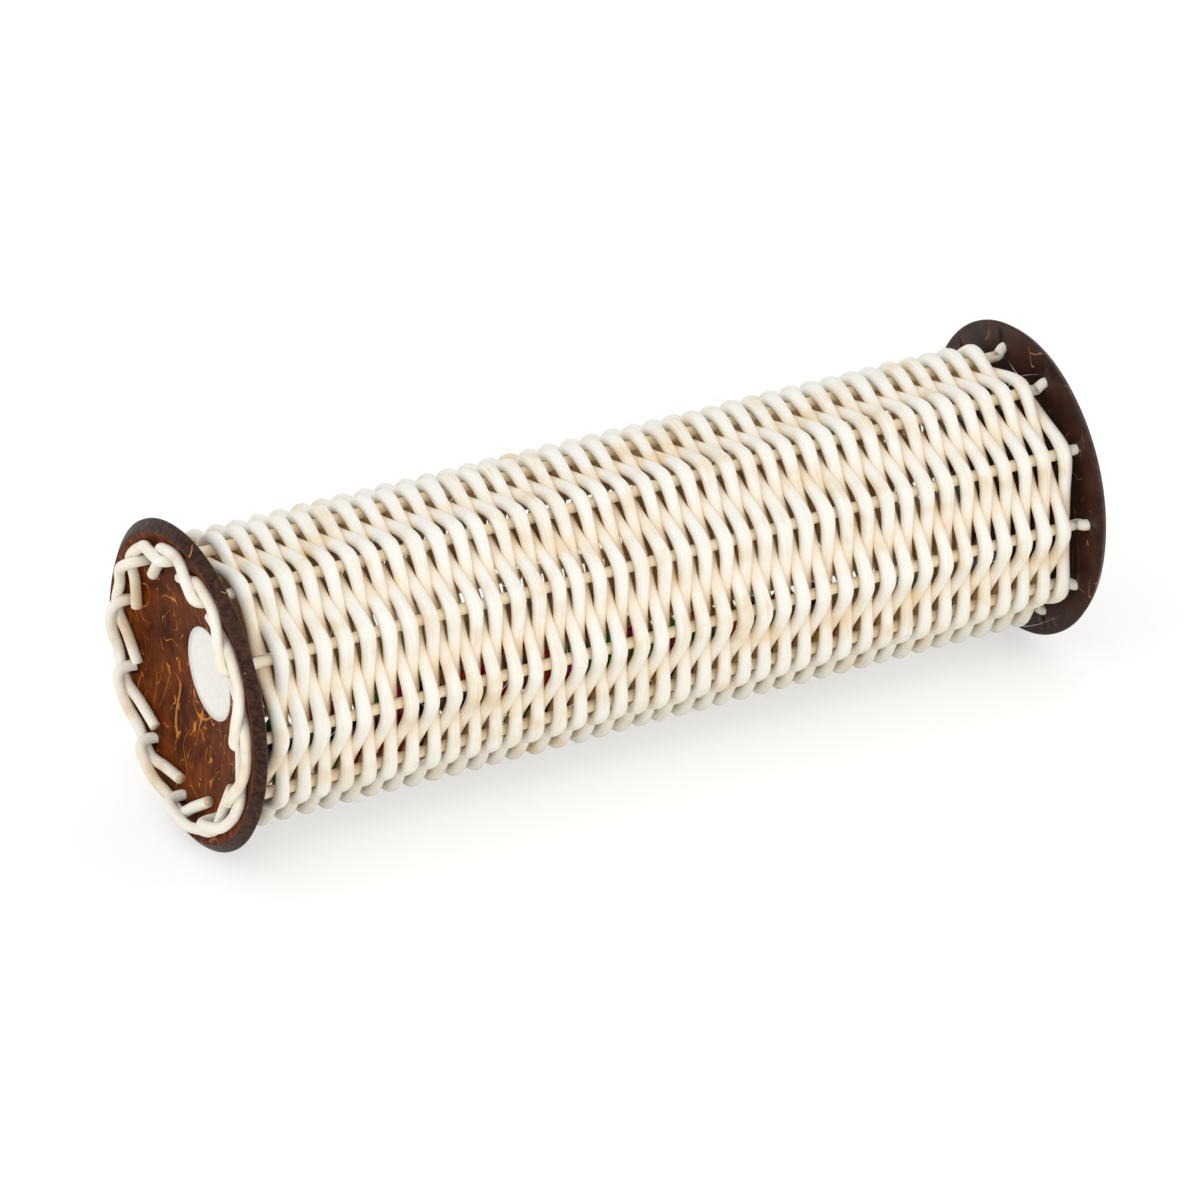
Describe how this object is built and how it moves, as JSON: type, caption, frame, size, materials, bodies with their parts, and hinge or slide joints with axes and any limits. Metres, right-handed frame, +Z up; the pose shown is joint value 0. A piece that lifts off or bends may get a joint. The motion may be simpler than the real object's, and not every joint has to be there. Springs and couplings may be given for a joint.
{
  "type": "ganza",
  "caption": "Hand shaker: a woven rattan tube closed by two coconut-shell discs, with loose coloured beads inside that rattle when it is shaken.",
  "frame": {"origin": "middle of the overall length and width, on the surface that the two discs stand on", "axes": "+X along the tube towards the picture's right end, +Z up, so the pictured side faces -Y"},
  "size_m": [0.2644, 0.088, 0.088],
  "materials": {
    "coconut_shell": "sanded and lightly oiled coconut shell with pale fibre streaks",
    "rattan_stake": "bleached round rattan core, matt",
    "rattan_weaver": "bleached round rattan core, matt, with loose fibres",
    "bead_red": "glossy coloured plastic",
    "bead_green": "glossy coloured plastic",
    "bead_navy": "glossy coloured plastic",
    "bead_gold": "glossy coloured plastic",
    "bead_crimson": "glossy coloured plastic"
  },
  "bodies": {
    "tube": {"end_disc_left": "coconut_shell", "end_disc_right": "coconut_shell", "stake_01": "rattan_stake", "stake_02": "rattan_stake", "stake_03": "rattan_stake", "stake_04": "rattan_stake", "stake_05": "rattan_stake", "stake_06": "rattan_stake", "stake_07": "rattan_stake", "stake_08": "rattan_stake", "stake_09": "rattan_stake", "stake_10": "rattan_stake", "stake_11": "rattan_stake", "weaver_01": "rattan_weaver", "weaver_02": "rattan_weaver", "weaver_03": "rattan_weaver", "weaver_04": "rattan_weaver", "weaver_05": "rattan_weaver", "weaver_06": "rattan_weaver", "weaver_07": "rattan_weaver", "weaver_08": "rattan_weaver", "weaver_09": "rattan_weaver", "weaver_10": "rattan_weaver", "weaver_11": "rattan_weaver", "weaver_12": "rattan_weaver", "weaver_13": "rattan_weaver", "weaver_14": "rattan_weaver", "weaver_15": "rattan_weaver"},
    "loose_bead_01": {"bead_01": "bead_red"},
    "loose_bead_02": {"bead_02": "bead_green"},
    "loose_bead_03": {"bead_03": "bead_navy"},
    "loose_bead_04": {"bead_04": "bead_gold"},
    "loose_bead_05": {"bead_05": "bead_crimson"},
    "loose_bead_06": {"bead_06": "bead_red"},
    "loose_bead_07": {"bead_07": "bead_green"},
    "loose_bead_08": {"bead_08": "bead_navy"},
    "loose_bead_09": {"bead_09": "bead_gold"},
    "loose_bead_10": {"bead_10": "bead_crimson"},
    "loose_bead_11": {"bead_11": "bead_red"},
    "loose_bead_12": {"bead_12": "bead_green"},
    "loose_bead_13": {"bead_13": "bead_navy"},
    "loose_bead_14": {"bead_14": "bead_gold"},
    "loose_bead_15": {"bead_15": "bead_crimson"},
    "loose_bead_16": {"bead_16": "bead_red"},
    "loose_bead_17": {"bead_17": "bead_green"},
    "loose_bead_18": {"bead_18": "bead_navy"},
    "loose_bead_19": {"bead_19": "bead_gold"},
    "loose_bead_20": {"bead_20": "bead_crimson"},
    "loose_bead_21": {"bead_21": "bead_red"},
    "loose_bead_22": {"bead_22": "bead_green"},
    "loose_bead_23": {"bead_23": "bead_navy"},
    "loose_bead_24": {"bead_24": "bead_gold"}
  },
  "joints": [
    {"name": "bead_01_throw", "type": "slide", "parent": "tube", "child": "loose_bead_01", "axis": [0, -0.6596, 0.7516], "range_m": [0, 0.0539]},
    {"name": "bead_02_throw", "type": "slide", "parent": "tube", "child": "loose_bead_02", "axis": [0, -0.6523, 0.758], "range_m": [0, 0.0539]},
    {"name": "bead_03_throw", "type": "slide", "parent": "tube", "child": "loose_bead_03", "axis": [0, -0.6459, 0.7635], "range_m": [0, 0.0539]},
    {"name": "bead_04_throw", "type": "slide", "parent": "tube", "child": "loose_bead_04", "axis": [0, -0.6394, 0.7689], "range_m": [0, 0.0539]},
    {"name": "bead_05_throw", "type": "slide", "parent": "tube", "child": "loose_bead_05", "axis": [0, -0.4168, 0.909], "range_m": [0, 0.0539]},
    {"name": "bead_06_throw", "type": "slide", "parent": "tube", "child": "loose_bead_06", "axis": [0, -0.4088, 0.9126], "range_m": [0, 0.0539]},
    {"name": "bead_07_throw", "type": "slide", "parent": "tube", "child": "loose_bead_07", "axis": [0, -0.4007, 0.9162], "range_m": [0, 0.0539]},
    {"name": "bead_08_throw", "type": "slide", "parent": "tube", "child": "loose_bead_08", "axis": [0, -0.3926, 0.9197], "range_m": [0, 0.0539]},
    {"name": "bead_09_throw", "type": "slide", "parent": "tube", "child": "loose_bead_09", "axis": [0, -0.1479, 0.989], "range_m": [0, 0.0539]},
    {"name": "bead_10_throw", "type": "slide", "parent": "tube", "child": "loose_bead_10", "axis": [0, -0.1395, 0.9902], "range_m": [0, 0.0539]},
    {"name": "bead_11_throw", "type": "slide", "parent": "tube", "child": "loose_bead_11", "axis": [0, -0.1311, 0.9914], "range_m": [0, 0.0539]},
    {"name": "bead_12_throw", "type": "slide", "parent": "tube", "child": "loose_bead_12", "axis": [0, -0.1215, 0.9926], "range_m": [0, 0.0539]},
    {"name": "bead_13_throw", "type": "slide", "parent": "tube", "child": "loose_bead_13", "axis": [0, 0.1408, 0.99], "range_m": [0, 0.0539]},
    {"name": "bead_14_throw", "type": "slide", "parent": "tube", "child": "loose_bead_14", "axis": [0, 0.1496, 0.9888], "range_m": [0, 0.0539]},
    {"name": "bead_15_throw", "type": "slide", "parent": "tube", "child": "loose_bead_15", "axis": [0, 0.1582, 0.9874], "range_m": [0, 0.0539]},
    {"name": "bead_16_throw", "type": "slide", "parent": "tube", "child": "loose_bead_16", "axis": [0, 0.1669, 0.986], "range_m": [0, 0.0539]},
    {"name": "bead_17_throw", "type": "slide", "parent": "tube", "child": "loose_bead_17", "axis": [0, 0.4098, 0.9122], "range_m": [0, 0.0539]},
    {"name": "bead_18_throw", "type": "slide", "parent": "tube", "child": "loose_bead_18", "axis": [0, 0.4186, 0.9082], "range_m": [0, 0.0539]},
    {"name": "bead_19_throw", "type": "slide", "parent": "tube", "child": "loose_bead_19", "axis": [0, 0.4263, 0.9046], "range_m": [0, 0.0539]},
    {"name": "bead_20_throw", "type": "slide", "parent": "tube", "child": "loose_bead_20", "axis": [0, 0.4339, 0.9009], "range_m": [0, 0.0539]},
    {"name": "bead_21_throw", "type": "slide", "parent": "tube", "child": "loose_bead_21", "axis": [0, 0.6537, 0.7567], "range_m": [0, 0.0539]},
    {"name": "bead_22_throw", "type": "slide", "parent": "tube", "child": "loose_bead_22", "axis": [0, 0.6604, 0.7509], "range_m": [0, 0.0539]},
    {"name": "bead_23_throw", "type": "slide", "parent": "tube", "child": "loose_bead_23", "axis": [0, 0.667, 0.7451], "range_m": [0, 0.0539]},
    {"name": "bead_24_throw", "type": "slide", "parent": "tube", "child": "loose_bead_24", "axis": [0, 0.6735, 0.7392], "range_m": [0, 0.0539]}
  ]
}
